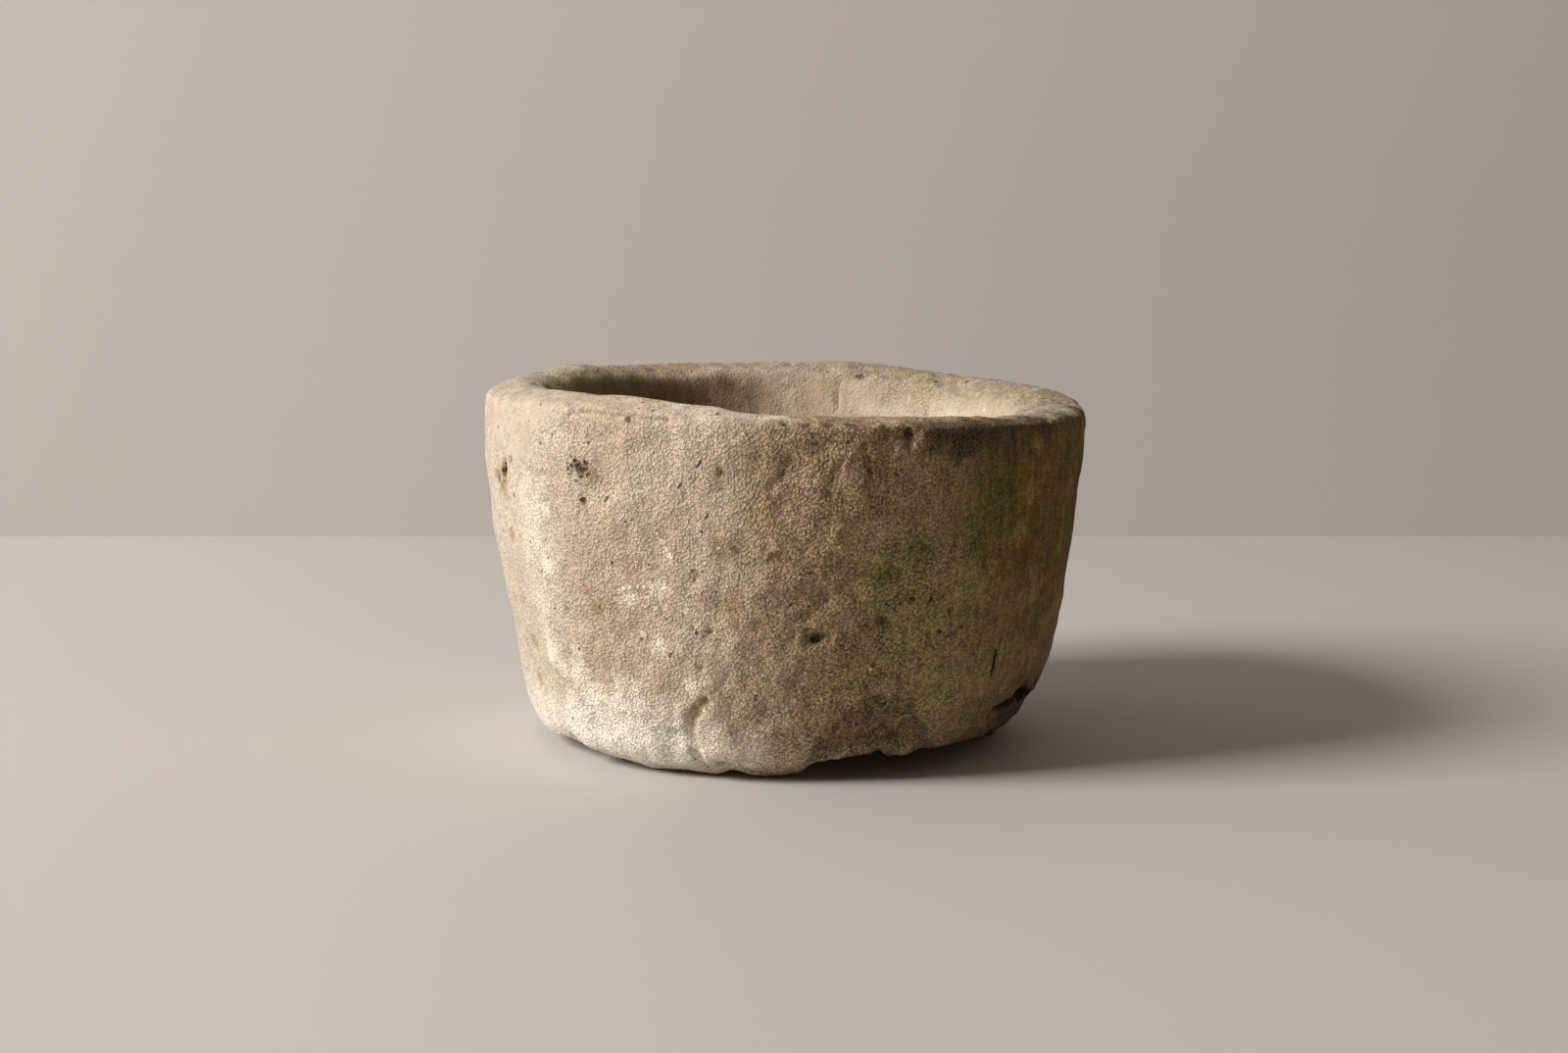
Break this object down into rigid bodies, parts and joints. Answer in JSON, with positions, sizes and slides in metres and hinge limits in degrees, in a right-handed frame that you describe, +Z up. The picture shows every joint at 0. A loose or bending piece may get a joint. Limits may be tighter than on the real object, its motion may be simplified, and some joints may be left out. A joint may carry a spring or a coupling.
{
  "type": "stone planter",
  "caption": "Round, thick-walled planter hewn from one block of stone, with a rounded basin, a worn uneven rim and a drain hole through its flat base.",
  "frame": {"origin": "middle of the footprint, on the ground plane that the bed stands on", "axes": "+Z up out of the basin; the pictured front faces -Y, +X to the right in the picture"},
  "size_m": [0.6018, 0.598, 0.3646],
  "materials": {
    "stone": "weathered, granular sandstone, matt, with pale bloom and a little green algae"
  },
  "bodies": {
    "root": {"stone_body": "stone"}
  },
  "joints": []
}
